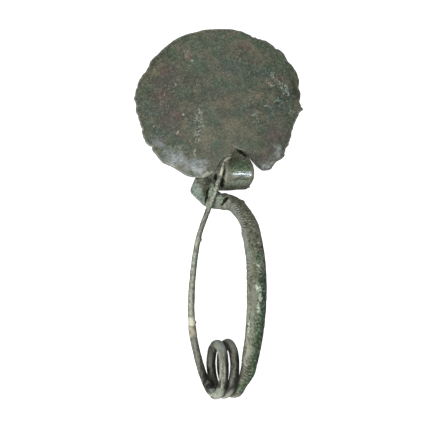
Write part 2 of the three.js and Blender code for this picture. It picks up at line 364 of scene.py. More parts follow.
# How far inside the outline two rounds of points lie, so that the worn rim is round.
RIM_ROUNDS = (0.28, 0.7)
RIM_DROP = 0.36
RIM_DROP_WIDTH = 0.9


def inset(loop, by):
    """A closed line moved inwards."""
    along = np.roll(loop, -1, axis=0) - np.roll(loop, 1, axis=0)
    along /= np.hypot(*along.T)[:, None]
    return loop + by * np.column_stack([-along[:, 1], along[:, 0]])


def net_points(step):
    """Rows of points in a triangle net over the disc."""
    points = []
    row_step = step * math.sqrt(3) / 2
    low_y, high_y = DISC_CENTRE_Y - NET_HALF_HEIGHT, DISC_CENTRE_Y + NET_HALF_HEIGHT
    for row, y in enumerate(np.arange(low_y, high_y, row_step)):
        for x in np.arange(-NET_HALF_WIDTH + (row % 2) * step / 2, NET_HALF_WIDTH, step):
            points.append((x, y))
    return np.array(points)


def rim_distance(points):
    """How far each point is from the outline."""
    return np.array([np.hypot(*(outline - point).T).min() for point in points])


def fill_face(step):
    """An even net inside the outline, as points and triangles. The outline's points come first."""
    rounds = np.vstack([inset(outline, distance) for distance in RIM_ROUNDS])
    rounds = rounds[inside(outline, rounds)]
    net = net_points(step)
    net = net[inside(outline, net)]
    net = net[rim_distance(net) > RIM_ROUNDS[-1] + 0.4 * step]
    points = np.vstack([outline, rounds, net])
    edges = [(i, (i + 1) % len(outline)) for i in range(len(outline))]
    triangles = delaunay_2d_cdt([Vector(p) for p in points], edges, [], 0, 1e-5, False)[2]
    middles = points[np.array(triangles)].mean(axis=1)
    return points, [tuple(face) for face, within in zip(triangles, inside(outline, middles)) if within]


def disc_sheet():
    count = len(outline)
    points, faces, from_rim = [], [], []
    for side, step in ((0.5, NET_STEP), (-0.5, BACK_NET_STEP)):
        flat, triangles = fill_face(step)
        first = len(points)
        distances = rim_distance(flat)
        from_rim += list(distances * MM)
        for (x, y), distance in zip(flat, distances):
            share = min(1.0, math.hypot(x / DISC_HALF_WIDTH, (y - DISC_CENTRE_Y) / DISC_HALF_HEIGHT))
            thick = DISC_THICKNESS + (DISC_RIM_THICKNESS - DISC_THICKNESS) * share * share
            drop = RIM_DROP * max(0.0, 1 - distance / RIM_DROP_WIDTH) ** 2
            relief = disc_relief(x, y) if side > 0 else waves(x, y, 5, BACK_WAVES)
            middle_height = disc_height(x, y) - rim_bend(x, y, distance)
            points.append((x, y, middle_height + side * (thick - 2 * drop) + relief))
        turn = 1 if side > 0 else -1
        faces += [tuple(first + v for v in face[::turn]) for face in triangles]
    back = len(points) - len(flat)
    for i in range(count):
        after = (i + 1) % count
        faces.append((i, back + i, back + after, after))
    made = mesh_object("disc", points, faces)
    keep_values(made, "from_rim", from_rim)
    return made


disc = disc_sheet()
print("disc:", len(disc.data.polygons), "faces")

# %% [markdown]
# ## The catch
# Below the disc the bronze is hammered into a band and folded on itself. One stretch dives from the end
# of the bow into a channel and doubles back underneath. The other rises from under the disc over a
# roll, and the pin's point rests between them. Bending a flat strip with a modifier could do it, but
# each fold has its own width and twist, so the section is carried from station to station instead.

# %% A hammered band through its stations
BAND_SIDES = 56
BAND_STEP = 0.42
BAND_SAMPLES = 400
CATCH_WAVES = [(0.1, 3.6, 5), (0.05, 1.3, 9), (0.025, 0.6, 2)]
CATCH_PIT_DEPTH = 0.16

# Centre x, y, z, half of the width as a vector x, y, z, thickness, and how square the section is.
CATCH_BAND = [
    (2.7, 4.8, 11.2, 0.1, 3.05, 0, 6, 2),
    (0.9, 5, 8.3, 0.2, 3.2, 0, 3.6, 2.3),
    (-0.9, 5.8, 5.2, 0.6, 3.8, 0, 2.1, 3),
    (-2.6, 7.2, 3.6, 1.2, 4.6, -0.3, 1.4, 3.6),
    (-4.2, 8.6, 3.5, 1.8, 5, -0.8, 1.2, 4),
    (-5.9, 9.9, 4.7, 1.8, 4.5, -1.1, 1.15, 4),
    (-7.9, 10.6, 4.9, 1.4, 3.8, -1.2, 1.1, 4),
    (-9.5, 11.4, 3.4, 1.1, 2.8, -0.6, 1.1, 4),
    (-9, 12, 1.5, 0.9, 2.7, 0, 1.1, 4),
    (-6, 13, 0.5, 0.5, 3.7, 0, 1.1, 4),
    (-0.8, 15.2, 0.45, 0, 5.9, 0, 1.1, 4),
    (5, 16.8, 0.45, 0, 7.5, 0, 1.1, 4),
    (12.9, 15.2, 0.5, 0, 4.8, 0, 1.1, 4),
]
CATCH_ROLL = [
    (8.2, 27.2, 2.6, 1.4, 0, 0, 0.9, 4),
    (8.4, 25, 3.5, 2.4, 0, 0, 1, 4),
    (8.7, 22.2, 6, 3.7, 0, 0, 1.05, 4),
    (9, 19, 8.6, 5.2, 0, 0, 1.1, 4),
    (8.75, 15.2, 9.2, 5.75, 0, 0, 1.1, 4),
    (8.2, 12.1, 7.6, 5.3, 0, 0, 1.1, 4),
    (7.1, 10.2, 4.6, 4.3, 0, 0, 1.1, 4),
    (7.7, 10.8, 1.7, 4.7, 0, 0, 1.1, 4),
    (8.3, 13.4, 0.5, 4.6, 0, 0, 1.1, 4),
]


def section(half_width, half_thickness, squareness, sides):
    """Points at even steps round a squared oval, clockwise."""
    turns = np.linspace(0, -2 * np.pi, 481)[:-1]
    power = 2 / squareness
    across = half_width * np.sign(np.cos(turns)) * np.abs(np.cos(turns)) ** power
    through = half_thickness * np.sign(np.sin(turns)) * np.abs(np.sin(turns)) ** power
    oval = np.column_stack([across, through])
    return even_steps(oval, np.hypot(*(oval - np.roll(oval, 1, axis=0)).T).sum() / sides)[:sides]


def close_rings(rings):
    """Faces that skin rings of the same count and close both ends."""
    count, sides = len(rings), len(rings[0])
    faces = []
    for i in range(count - 1):
        for j in range(sides):
            a, b = i * sides + j, i * sides + (j + 1) % sides
            faces.append((a, b, b + sides, a + sides))
    faces.append(tuple(range(sides))[::-1])
    faces.append(tuple(range((count - 1) * sides, count * sides)))
    return faces


def hammered_band(name, stations):
    run = smooth_run(stations)
    steps = round(length_of([run(i / BAND_SAMPLES) for i in range(BAND_SAMPLES + 1)]) / BAND_STEP)
    rings = []
    for i in range(steps + 1):
        share = i / steps
        x, y, z, width_x, width_y, width_z, thickness, squareness = run(share)
        half = np.array([width_x, width_y, width_z])
        along = run(share + 0.3 / steps)[:3] - run(share - 0.3 / steps)[:3]
        face = np.cross(half, along)
        face /= np.linalg.norm(face)
        half_width = np.linalg.norm(half)
        oval = section(half_width, thickness / 2, squareness, BAND_SIDES)
        rings.append((x, y, z) + oval[:, :1] * half / half_width + oval[:, 1:] * face)
    return mesh_object(name, np.vstack(rings), close_rings(rings))


def point_places(made):
    """Every point of a mesh object, in millimetres."""
    flat = np.empty(len(made.data.vertices) * 3)
    made.data.vertices.foreach_get("co", flat)
    return flat.reshape(-1, 3) / MM


def work_surface(made, relief):
    """Moves every point along its normal by relief(x, y, z), in millimetres."""
    data = made.data
    places = point_places(made)
    normals = np.empty(len(data.vertices) * 3)
    data.vertex_normals.foreach_get("vector", normals)
    heights = np.array([relief(*place) for place in places])
    places += normals.reshape(-1, 3) * heights[:, None]
    data.vertices.foreach_set("co", (places * MM).ravel())
    data.update()


def catch_relief(x, y, z):
    """What hammer and corrosion add to the catch."""
    pitted = smoothstep(wavy(x, y, z, 4.0, 21), 0.0, 0.4)
    return waves(x, y, z, CATCH_WAVES) - CATCH_PIT_DEPTH * pitted * knobs(x, y, z, 1.2, 0.5)


catch_band = hammered_band("catch_band", CATCH_BAND)
catch_roll = hammered_band("catch_roll", CATCH_ROLL)
for band in (catch_band, catch_roll):
    work_surface(band, catch_relief)
    print(band.name, len(band.data.vertices), "points")

# %% [markdown]
# ## Node trees written as sums
# The rod's grooves and the patina are both rules, and a node tree works a rule out at every point.
# Wiring a tree by hand takes a line for every node and hides the sum in it. Here one small class stands
# for a node's output and knows + - * /, so that 1 - wear * 0.5 adds its Math nodes by itself, and one
# method adds every other node: its settings first, then the values or links of its sockets.

# %% Outputs that work like numbers
class Output:
    """A node's output. Sums with it add Math nodes to its sheet."""

    def __init__(self, sheet, socket):
        self.sheet = sheet
        self.socket = socket

    def __add__(self, other):
        return self.sheet.math("ADD", self, other)

    def __sub__(self, other):
        return self.sheet.math("SUBTRACT", self, other)

    def __rsub__(self, other):
        return self.sheet.math("SUBTRACT", other, self)

    def __mul__(self, other):
        return self.sheet.math("MULTIPLY", self, other)

    def __truediv__(self, other):
        return self.sheet.math("DIVIDE", self, other)

    def __rtruediv__(self, other):
        return self.sheet.math("DIVIDE", other, self)

    def __pow__(self, other):
        return self.sheet.math("POWER", self, other)

    __radd__ = __add__
    __rmul__ = __mul__


class Sheet:
    """A node tree that is filled in by expressions."""

    def __init__(self, tree):
        self.tree = tree

    def node(self, kind, settings=None, sockets=None, output=0):
        """Adds a node and gives back one of its outputs, if it has any."""
        made = self.tree.nodes.new(kind)
        for name, value in (settings or {}).items():
            setattr(made, name, value)
        for name, value in (sockets or {}).items():
            if isinstance(value, Output):
                self.tree.links.new(value.socket, made.inputs[name])
            else:
                made.inputs[name].default_value = value
        return Output(self, made.outputs[output]) if made.outputs else None

    def math(self, operation, *values):
        return self.node("ShaderNodeMath", {"operation": operation}, dict(enumerate(values)))

    def smooth(self, value, low, high):
        """0 at low, 1 at high, and a soft change between. Low may be the greater of the two."""
        sockets = {"Value": value, "From Min": low, "From Max": high}
        return self.node("ShaderNodeMapRange", {"interpolation_type": "SMOOTHSTEP"}, sockets)

    def noise(self, place, size, detail, roughness=0.5):
        """Cloudy noise from 0 to 1, with clouds about as long as size, in metres."""
        sockets = {"Vector": place, "Scale": 1 / size, "Detail": detail, "Roughness": roughness}
        return self.node("ShaderNodeTexNoise", {}, sockets)

    def cells(self, place, size):
        """How far the nearest of many scattered points is, in parts of the cell size."""
        return self.node("ShaderNodeTexVoronoi", {}, {"Vector": place, "Scale": 1 / size}, "Distance")

    def axes(self, vector):
        """The x, y and z of a vector."""
        split = self.node("ShaderNodeSeparateXYZ", {}, {0: vector}).socket.node
        return [Output(self, split.outputs[axis]) for axis in range(3)]

    def vector(self, operation, **sockets):
        """A Vector Math node. Its sockets are first, second and scale."""
        names = {"first": 0, "second": 1, "scale": "Scale"}
        given = {names[name]: value for name, value in sockets.items()}
        return self.node("ShaderNodeVectorMath", {"operation": operation}, given)


# %% Geometry trees with named inputs, and plain meshes out of them
SOCKET_KINDS = {float: "NodeSocketFloat", int: "NodeSocketInt"}


def geometry_sheet(name, sizes):
    """A geometry tree with one named input for each size, and its input node's outputs by name."""
    tree = bpy.data.node_groups.new(name, "GeometryNodeTree")
    tree.interface.new_socket("Geometry", in_out="INPUT", socket_type="NodeSocketGeometry")
    for label, value in sizes.items():
        made = tree.interface.new_socket(label, in_out="INPUT", socket_type=SOCKET_KINDS[type(value)])
        made.default_value = value
    tree.interface.new_socket("Material", in_out="INPUT", socket_type="NodeSocketMaterial")
    tree.interface.new_socket("Geometry", in_out="OUTPUT", socket_type="NodeSocketGeometry")
    sheet = Sheet(tree)
    entry = sheet.node("NodeGroupInput").socket.node
    return sheet, {socket.name: Output(sheet, socket) for socket in entry.outputs if socket.name}


def finish_geometry(sheet, geometry, material):
    real = sheet.node("GeometryNodeRealizeInstances", {}, {"Geometry": geometry})
    coated = sheet.node("GeometryNodeSetMaterial", {}, {"Geometry": real, "Material": material})
    sheet.node("NodeGroupOutput", {}, {0: coated})


def evaluated_mesh(host):
    """The plain mesh that an object's modifiers make of it."""
    depsgraph = bpy.context.evaluated_depsgraph_get()
    shape = host.evaluated_get(depsgraph)
    return bpy.data.meshes.new_from_object(shape, preserve_all_data_layers=True, depsgraph=depsgraph)


def grown(name, host, tree, values):
    """Runs a geometry tree on a host object and gives back a plain mesh object in its place."""
    modifier = host.modifiers.new(tree.name, "NODES")
    modifier.node_group = tree
    for item in tree.interface.items_tree:
        if item.in_out == "INPUT" and item.name in values:
            modifier[item.identifier] = values[item.name]
    data = evaluated_mesh(host)
    host.modifiers.remove(modifier)
    bpy.data.objects.remove(host)
    data.name = name
    print(name, "grown:", len(data.polygons), "faces")
    return placed(name, data)


# %% [markdown]
# ## The wrought rod
# Pin, spring and bow are one rod of changing thickness. Its surface follows a rule: fine rings are cut
# across the bow, chevrons close it at the catch, and a few deep ribs at the spring. They could be
# separate loops laid on it, but the real ones are cut in. So a path carries the rod's thickness, a
# geometry tree sweeps a circle along it, and the same tree sinks grooves by distance along the path.

# %% The tree that sweeps a rod and cuts its grooves
GROOVE_ZONES = ("Beads", "Rings", "Ribs", "Chevrons")
GROOVE_PARTS = ("start", "end", "spacing", "depth", "slant", "reach")
GROOVE_SOFT_END = 1.2 * MM
GROOVE_DIRTY_DEPTH = 0.25 * MM
GROOVE_SHARPNESS = 1.6
BUBBLE_SIZE = 1.05 * MM
CRUST_SOFT_START = 4 * MM


def wrought_rod_tree():
    sizes = {
        "Sides": 64,
        "Hammered height": 0.05 * MM,
        "Corroded height": 0.03 * MM,
        "Crust height": 0.0,
        "Crust start": 0.0,
    }
    for zone in GROOVE_ZONES:
        for part in GROOVE_PARTS:
            sizes[f"{zone} {part}"] = 0.0 if part != "spacing" else MM
    sheet, given = geometry_sheet("wrought_rod", sizes)
    length = sheet.node("GeometryNodeSplineParameter", output="Length")
    marks = {"data_type": "FLOAT", "domain": "POINT"}
    sockets = {"Geometry": given["Geometry"], "Name": "along", "Value": length}
    path = sheet.node("GeometryNodeStoreNamedAttribute", marks, sockets)
    sockets = {"Resolution": given["Sides"], "Radius": 1.0}
    circle = sheet.node("GeometryNodeCurvePrimitiveCircle", {"mode": "RADIUS"}, sockets)
    thickness = sheet.node("GeometryNodeInputRadius")
    sockets = {"Curve": path, "Profile Curve": circle, "Scale": thickness, "Fill Caps": True}
    swept = sheet.node("GeometryNodeCurveToMesh", {}, sockets)
    along = sheet.node("GeometryNodeInputNamedAttribute", {"data_type": "FLOAT"}, {"Name": "along"})
    normal = sheet.node("GeometryNodeInputNormal")
    place = sheet.node("GeometryNodeInputPosition")
    side = sheet.axes(normal)[0]
    dirty = 0.0
    depth = 0.0
    for zone in GROOVE_ZONES:
        start, end, spacing, deep, slant, reach = (given[f"{zone} {part}"] for part in GROOVE_PARTS)
        lean = sheet.math("PINGPONG", side * 2.4 + 0.2, 0.85) if zone == "Chevrons" else side
        wave = sheet.math("COSINE", (along + slant * lean) / spacing * math.tau)
        groove = (wave * 0.5 + 0.5) ** GROOVE_SHARPNESS
        open_zone = sheet.smooth(along, start, start + GROOVE_SOFT_END)
        open_zone = open_zone * (1 - sheet.smooth(along, end - GROOVE_SOFT_END, end))
        groove = groove * open_zone * sheet.smooth(side, reach + 0.25, reach - 0.2)
        dirty = groove * sheet.smooth(deep, 0.0, GROOVE_DIRTY_DEPTH) + dirty
        depth = groove * deep + depth
    worn = sheet.noise(place, 3.2 * MM, 1.0) * 2 - 1
    rough = sheet.noise(place, 0.8 * MM, 2.0) * 2 - 1
    bubbles = 1 - sheet.cells(place, BUBBLE_SIZE)
    crust = sheet.smooth(bubbles, 0.45, 0.85) * sheet.smooth(side, -0.25, 0.35)
    patches = sheet.noise(place, 5 * MM, 1.0)
    crust = crust * sheet.smooth(patches, 0.4, 0.55) * sheet.smooth(side, 0.95, 0.6)
    crust = crust * sheet.smooth(along, given["Crust start"], given["Crust start"] + CRUST_SOFT_START)
    relief = worn * given["Hammered height"] + rough * given["Corroded height"]
    cut_clean = sheet.smooth(sheet.noise(place, 2.4 * MM, 1.0), 0.3, 0.5)
    relief = relief + crust * given["Crust height"] - depth * cut_clean
    moves = {"Geometry": swept, "Offset": sheet.vector("SCALE", first=normal, scale=relief)}
    shaped = sheet.node("GeometryNodeSetPosition", {}, moves)
    sockets = {"Geometry": shaped, "Name": "groove", "Value": dirty}
    marked = sheet.node("GeometryNodeStoreNamedAttribute", marks, sockets)
    finish_geometry(sheet, marked, given["Material"])
    return sheet.tree


rod_tree = wrought_rod_tree()
print("rod tree:", len(rod_tree.nodes), "nodes")

# %% The path of the rod
SPRING_RADIUS = 9.9
SPRING_OPENING = 0.1
SPRING_WIRE = 1.86
SPRING_PITCH = 4.47
SPRING_DRIFT = 0.22
SPRING_LEAN = math.radians(21)
SPRING_START = np.array([-2.1, -61.5, 13.7])
SPRING_LAST_TURN = 2.08
SPRING_SQUEEZE = 1.1


def spring_point(turn):
    """Centre of the wire. Turn 0 is at the brooch's -Y end, where the pin runs in."""
    axis = np.array([math.cos(SPRING_LEAN), 0, -math.sin(SPRING_LEAN)])
    towards_bow = np.array([math.sin(SPRING_LEAN), 0, math.cos(SPRING_LEAN)])
    radius = SPRING_RADIUS + SPRING_OPENING * smoothstep(turn, 0.8, 1.4)
    shift = np.array([SPRING_SQUEEZE * (1 - smoothstep(turn, 0.0, 0.3)), SPRING_DRIFT * turn, 0])
    angle = math.tau * turn
    round_the_axis = radius * (math.cos(angle) * np.array([0, -1, 0]) + math.sin(angle) * towards_bow)
    return SPRING_START + axis * SPRING_PITCH * turn + round_the_axis + shift


# Centre x, y, z and radius, from the spring to the collar.
BOW = [
    (9.45, -67.35, 15.8, 2),
    (11.7, -62, 19.6, 2.9),
    (13.05, -54.8, 22.7, 3.35),
    (14.35, -46.4, 25.2, 3.55),
    (15.1, -37, 27, 3.8),
    (15.2, -27.6, 27.9, 3.95),
    (14.8, -18.3, 27.2, 3.8),
    (13.5, -9, 25, 3.65),
    (12.2, -3.9, 22.7, 3.4),
    (9.65, 0.5, 18.9, 3.2),
    (6.3, 3.8, 14.3, 3.15),
    (2.7, 4.8, 11.2, 3.1),
    (1.7, 4.9, 10.2, 2.95),
]
COLLAR_AT = np.array([2.7, 4.8, 11.2])
COLLAR_RISE = 0.3
COLLAR_WIDTH = 0.9

# Centre x, y, z and radius, from the pin's point to the spring.
PIN = [
    (5.5, 22.7, 6.9, 0.3),
    (4, 22, 7.7, 0.45),
    (2.8, 20.6, 8.6, 0.55),
    (2, 18, 9.4, 0.6),
    (0.8, 13.8, 9.9, 0.7),
    (-1.6, 6.6, 9.9, 1),
    (-4.1, 0.6, 8.9, 1),
    (-7.4, -9, 7.2, 1.1),
    (-9.2, -19, 5.8, 1.2),
    (-10.3, -31, 4.9, 1.32),
    (-10.4, -41, 4.5, 1.45),
    (-9.5, -49.5, 4.4, 1.5),
    (-7.7, -57.5, 4.7, 1.55),
    (-5.5, -64.6, 6.4, 1.62),
    (-3.3, -69.2, 9.4, 1.75),
    (*spring_point(0), SPRING_WIRE),
]
FILL_FROM_Y = -44.7
FILL_TO_Y = -49.1


def stations_along(run, start, end, count):
    return [run(start + (end - start) * i / count) for i in range(count + 1)]


def refined(stations, pieces):
    """Each interval of a run of stations cut into that many even pieces."""
    run, last = smooth_run(stations), len(stations) - 1
    return [run(i / (last * pieces)) for i in range(last * pieces)] + [run(1.0)]


def path_object(name, stations):
    """A curve through stations x, y, z, radius, in millimetres."""
    curve = bpy.data.curves.new(name, "CURVE")
    curve.dimensions = "3D"
    spline = curve.splines.new("POLY")
    spline.points.add(len(stations) - 1)
    for point, (x, y, z, radius) in zip(spline.points, stations):
        point.co = (x * MM, y * MM, z * MM, 1)
        point.radius = radius * MM
    return placed(name, curve)


pin_run = smooth_run(PIN)
bow_run = smooth_run(BOW)
stump = stations_along(pin_run, share_at_y(pin_run, FILL_TO_Y), 1.0, 16)
turns = [np.array([*spring_point(SPRING_LAST_TURN * (i + 1) / 48), SPRING_WIRE]) for i in range(48)]
bow = stations_along(bow_run, 0.0, 1.0, 72)
for station in bow:
    off_collar = np.linalg.norm(station[:3] - COLLAR_AT) / COLLAR_WIDTH
    station[3] += COLLAR_RISE * math.exp(-off_collar * off_collar)
coil = refined(stump + turns + bow[:1], 4)
rod_stations = coil[:-1] + refined(bow, 7)
coil_length, rod_length = length_of(coil), length_of(rod_stations)
print("rod:", round(rod_length, 1), "mm, of which the bow", round(rod_length - coil_length, 1))

# %% Grow the rod
bronze = bpy.data.materials.new("bronze_patina")
# Each zone: start and end from the foot of the bow, spacing, depth, how far the cuts slant, and how far
# they reach round to the right, from -1 to 1.
GROOVES = {
    "Beads": (41, 54.5, 1.42, 0.17, 0.15, -0.72),
    "Rings": (44, 56, 0.8, 0.05, 0, -0.1),
    "Ribs": (3.6, 11.8, 1.2, 0.44, 0.9, 0.3),
    "Chevrons": (64, 82.5, 1.25, 0.36, 1.3, 0.5),
}
bow_marks = {
    "Hammered height": 0.16 * MM,
    "Corroded height": 0.07 * MM,
    "Crust height": 0.16 * MM,
    "Crust start": (coil_length + 6) * MM,
    "Material": bronze,
}
for zone, (start, end, spacing, depth, slant, reach) in GROOVES.items():
    lengths = (coil_length + start, coil_length + end, spacing, depth, slant)
    values = (*(length * MM for length in lengths), reach)
    bow_marks.update({f"{zone} {part}": value for part, value in zip(GROOVE_PARTS, values)})
rod = grown("rod", path_object("rod_path", rod_stations), rod_tree, bow_marks)

# %% [markdown]
# ## One wrought piece
# The disc, the catch and the rod are one piece of bronze, so they are joined into one closed skin.
# Leaving them as shells that pass through each other would look alike from above, but it would not be
# one piece, and its inner walls would show in a cut. What would reach below the table is taken off,
# which leaves the small flats that the brooch lies on.

# %% Join the shells and trim what reaches below the table
SPLINTER_POINTS = 40


def joined(made, other, operation):
    """One closed skin of two, with each part's own material kept."""
    modifier = made.modifiers.new(operation.lower(), "BOOLEAN")
    modifier.solver = "MANIFOLD"
    modifier.operation = operation
    modifier.material_mode = "TRANSFER"
    modifier.object = other
    data = evaluated_mesh(made)
    made.modifiers.remove(modifier)
    made.data = data
    bpy.data.objects.remove(other)
    return made


def without_splinters(made, least):
    """Drops loose skins of fewer points than least, which are splinters of a join."""
    shape = bmesh.new()
    shape.from_mesh(made.data)
    seen = set()
    loose = []
    for start in shape.verts:
        if start in seen:
            continue
        skin = [start]
        seen.add(start)
        for corner in skin:
            for edge in corner.link_edges:
                across = edge.other_vert(corner)
                if across not in seen:
                    seen.add(across)
                    skin.append(across)
        if len(skin) < least:
            loose += skin
    print(made.name, "splinter points dropped:", len(loose))
    bmesh.ops.delete(shape, geom=loose, context="VERTS")
    shape.to_mesh(made.data)
    shape.free()


disc_metal = bpy.data.materials.new("disc_patina")
disc.data.materials.append(disc_metal)
catch_roll.data.materials.append(bronze)
catch_band.data.materials.append(bronze)
brooch = rod
for limb in (disc, catch_roll, catch_band):
    brooch = joined(brooch, limb, "UNION")
    print("joined:", len(brooch.data.polygons), "faces")
block = bmesh.new()
bmesh.ops.create_cube(block, size=1, matrix=Matrix.Translation((0, 0, -0.5)))
brooch = joined(brooch, placed_shape("below_table", block), "DIFFERENCE")
brooch.name = "brooch_wrought"
without_splinters(brooch, SPLINTER_POINTS)
print("brooch:", len(brooch.data.polygons), "faces")

# %% The two lengths of the broken pin
pin_metal = bpy.data.materials.new("pin_patina")
fill_paste = bpy.data.materials.new("repair_fill")
FILL_SWELL = 0.1


def grown_rod(name, stations, material, sides, hammered, corroded):
    """A rod of its own, grown by the same tree as the bow."""
    marks = {"Sides": sides, "Hammered height": hammered * MM, "Corroded height": corroded * MM}
    marks["Material"] = material
    return grown(name, path_object(name, stations), rod_tree, marks)


fill_start, fill_end = (share_at_y(pin_run, y) for y in (FILL_FROM_Y, FILL_TO_Y))
pin_stations = refined(stations_along(pin_run, 0.0, fill_start, 34), 6)
pin = grown_rod("pin_to_point", pin_stations, pin_metal, 24, 0.12, 0.09)
fill_stations = refined(stations_along(pin_run, fill_start, fill_end, 4), 6)
fill_stations = [station + np.array([0, 0, 0, FILL_SWELL]) for station in fill_stations]
fill = grown_rod("pin_repair", fill_stations, fill_paste, 28, 0.1, 0.05)

# %% [markdown]
# ## Creases, lumps and spurs
# Some marks sit on the finished bronze: the deep slanting cut of the collar, a scratch across the bow,
# the corrosion that has grown in lumps where the pin lies in the catch, and a few small spurs. They
# could be modelled as pieces, but nothing is added to the real metal there: its own surface swells or
# sinks. So the points of the finished skin are moved along their normals, and each mark is kept as a
# tone for the patina.

# %% Marks on the finished skin
# Cuts in plan: from x, y to x, y, half width, depth.
CUTS = [
    (3.7, 6.3, 2.8, 5.2, 0.55, 0.75), (2.8, 5.2, 1.6, 3.3, 0.35, 0.6),
    (14, -19.2, 16.6, -21.2, 0.35, 0.22), (15, -22.4, 15.1, -25.6, 0.3, 0.18),
]
# Ovals in plan: x, y, half width, half height, and how far the surface rises.
RIDGES = [
    (-2.7, 9.6, 0.9, 2.4, 0.5), (-3.6, 4.4, 1.2, 1.8, 0.4), (1, 5, 0.6, 1.2, 0.3),
    (4.9, 5, 0.7, 1.8, 0.4), (10.4, 5, 0.7, 0.7, 0.5), (9.8, -7.9, 0.6, 1.6, 0.4),
]
LUMPY = [(-2.2, 9, 1.9, 3.6), (-3.4, 4.2, 2, 2.6), (0.2, 12.4, 1, 2.2), (1, 6, 1.8, 2.4)]
LUMP_SIZE = 0.95
LUMP_WIDTH = 0.62
LUMP_HEIGHT = 0.75
PIN_SPURS = [(-6.5, -10.4, 0.7, 0.5, 0.5), (-8.9, -43.2, 0.7, 0.6, 0.45)]
PIN_LUMPY = [(-0.6, 9.6, 2, 4.6), (-3.4, 2.4, 1.6, 2.6)]


def cut_depth(x, y, cut):
    x1, y1, x2, y2, width, depth = cut
    share = ((x - x1) * (x2 - x1) + (y - y1) * (y2 - y1)) / ((x2 - x1) ** 2 + (y2 - y1) ** 2)
    share = min(max(share, 0.0), 1.0)
    away = math.hypot(x - x1 - share * (x2 - x1), y - y1 - share * (y2 - y1)) / width
    return depth * math.exp(-away * away)


def marked(made, least_z, cuts, ridges, lumpy, seed):
    """Works cuts, ridges and lumps into what faces up, and stores them as point values."""
    kept = []

    def relief(x, y, z):
        above = smoothstep(z, least_z, least_z + 1.5)
        cut = above * sum(cut_depth(x, y, one) for one in cuts)
        grown_here = above * (near_any(x, y, lumpy) * knobs(x, y, z, LUMP_SIZE, LUMP_WIDTH, seed))
        kept.append((cut, grown_here))
        risen = sum(rise * near(x, y, spot) for *spot, rise in ridges)
        return LUMP_HEIGHT * grown_here - cut + above * risen

    work_surface(made, relief)
    for name, column in zip(("cut", "lumps"), np.array(kept).T):
        keep_values(made, name, column.tolist())


marked(brooch, 4.0, CUTS, RIDGES, LUMPY, 0.0)
marked(pin, 0.0, [], PIN_SPURS, PIN_LUMPY, 3.0)
print("marks: deepest cut", max(depth for *_, depth in CUTS), "mm")

# %% [markdown]
# ## The patina
# Buried bronze grows a skin of its own: a smooth dark green, clouded with brown and blue-green, broken
# in places by red-brown and pink spots, pale crusts and small pits, and worn grey along the rim. One
# noise over everything would look like camouflage, so the skin is built in three steps: clouds of
# several sizes, then stains laid where this brooch has them with ragged edges, then fine grain. Painted
# light and shade are laid in with the stains: a sheen and a highlight on the rim, glints, lit sides and
# shade in the hollows. The same grain lifts the surface and changes its gloss.

# %% Stains as values on the points of a piece
STAIN_SEED = 3
noise.seed_set(STAIN_SEED)


def stained(made, stains, size, reach):
    """Stores, by name, how deep a point lies in the ovals of a stain or of painted light and shade. Noise
    makes their edges ragged.
    """
    places = point_places(made)
    push = np.array([noise.noise_vector(Vector(place / size)) for place in places])
    push += 0.5 * np.array([noise.noise_vector(Vector(place / size * 2.7)) for place in places])
    x, y = (places + reach * push)[:, :2].T
    for name, spots in stains.items():
        depth = np.zeros(len(x))
        for spot_x, spot_y, half_width, half_height, *turn in spots:
            lean = math.radians(sum(turn))
            across = (x - spot_x) * math.cos(lean) + (y - spot_y) * math.sin(lean)
            along = (y - spot_y) * math.cos(lean) - (x - spot_x) * math.sin(lean)
            depth = np.maximum(depth, 1 - np.hypot(across / half_width, along / half_height))
        keep_values(made, name, depth)
    print(made.name, "stained:", ", ".join(stains))


# %% Tones and sheets for patinas
DIM = 0.62
SHINE = 0.3
# The black of painted shade and of the cuts.
PAINTED_SHADE_BLACK = (24, 26, 20)


def tone(red, green, blue):
    """A tone in steps of 0 to 255 as the eye sees it, as the linear colour that a shader takes."""
    steps = (channel / 255 for channel in (red, green, blue))
    linear = (((step + 0.055) / 1.055) ** 2.4 if step > 0.04 else step / 12.92 for step in steps)
    return (*(DIM * value for value in linear), 1.0)


